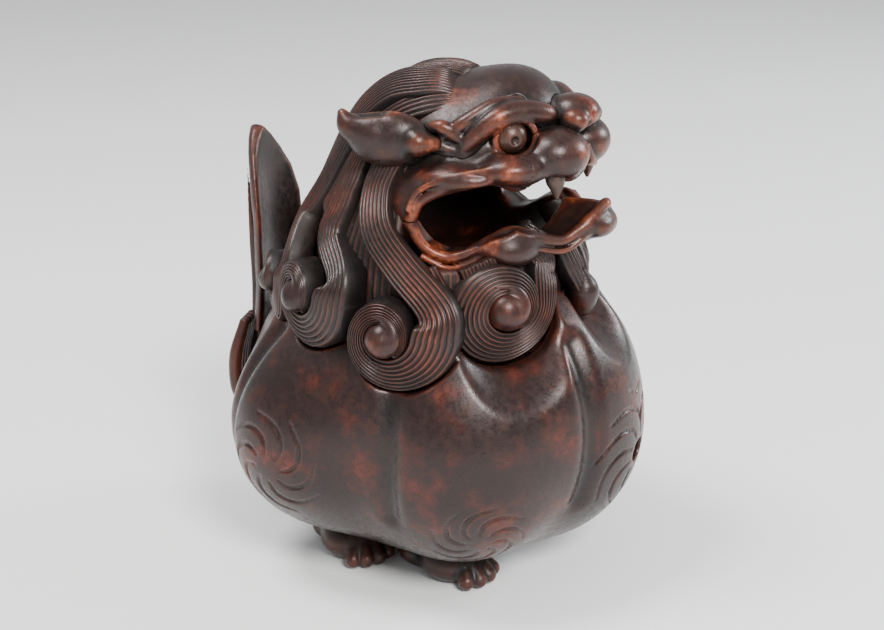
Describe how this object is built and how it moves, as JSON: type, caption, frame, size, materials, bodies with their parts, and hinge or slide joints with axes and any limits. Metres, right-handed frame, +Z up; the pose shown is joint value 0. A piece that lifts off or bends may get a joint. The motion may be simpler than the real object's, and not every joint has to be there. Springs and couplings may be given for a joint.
{
  "type": "foo dog censer statue",
  "caption": "Bronze foo dog incense burner: a globe body on tucked paws with an upright tail, a lift-off open-mouthed head with a curled mane, and an ash liner.",
  "frame": {"origin": "centre of the footprint box on the ground under the paws", "axes": "+Z up, face towards -Y, the animal's right side on -X, its left side on +X"},
  "size_m": [0.1036, 0.1256, 0.1418],
  "materials": {
    "bronze_body": "cast bronze, near-black lacquered patina with red-brown rub-through, satin gloss",
    "bronze_head": "cast bronze, dark brown patina worn to red-brown on the crown and lips, satin gloss",
    "bronze_mane": "cast and chased bronze, dark patina in the grooves, brighter ridge tops",
    "bronze_paw": "cast bronze, near-black patina",
    "bronze_tail": "cast bronze, grey-brown patina",
    "bronze_worn": "cast bronze, high spots rubbed to red-brown copper oxide, satin gloss",
    "bronze_tooth": "cast bronze, grey-brown rubbed teeth",
    "bronze_eye": "cast bronze, dark glossy eyes with a punched pupil",
    "bronze_inner": "turned bronze seat, dull brown",
    "copper_liner": "spun copper, heat-dulled"
  },
  "bodies": {
    "body": {"body_shell": "bronze_body", "neck_ring": "bronze_inner", "front_paw_right": "bronze_paw", "front_paw_left": "bronze_paw", "hind_paw_right": "bronze_paw", "hind_paw_left": "bronze_paw", "tail": "bronze_tail", "tail_root": "bronze_tail", "tail_rivet": "bronze_inner"},
    "liner": {"ash_liner": "copper_liner"},
    "head": {"mane_shell": "bronze_mane", "lid_collar": "bronze_inner", "skull": "bronze_head", "lower_jaw": "bronze_head", "nose": "bronze_worn", "muzzle_right": "bronze_worn", "muzzle_left": "bronze_worn", "brow_right": "bronze_worn", "brow_left": "bronze_worn", "eye_right": "bronze_eye", "eye_left": "bronze_eye", "ear_right": "bronze_worn", "ear_left": "bronze_worn", "front_teeth": "bronze_tooth", "fang_right": "bronze_tooth", "fang_left": "bronze_tooth", "chin_tuft": "bronze_mane", "lock_front_right": "bronze_mane", "lock_front_left": "bronze_mane", "lock_side_right": "bronze_mane", "lock_side_left": "bronze_mane", "lock_rear_right": "bronze_mane", "lock_rear_left": "bronze_mane", "lock_flame_right": "bronze_mane", "lock_flame_left": "bronze_mane"}
  },
  "joints": [
    {"name": "head_lift", "type": "slide", "parent": "body", "child": "head", "axis": [0, 0, 1], "range_m": [0, 0.09]},
    {"name": "liner_lift", "type": "slide", "parent": "body", "child": "liner", "axis": [0, 0, 1], "range_m": [0, 0.045]}
  ],
  "couplings": [
    {"joint": "liner_lift", "follows": "head_lift", "ratio": 0.5}
  ]
}
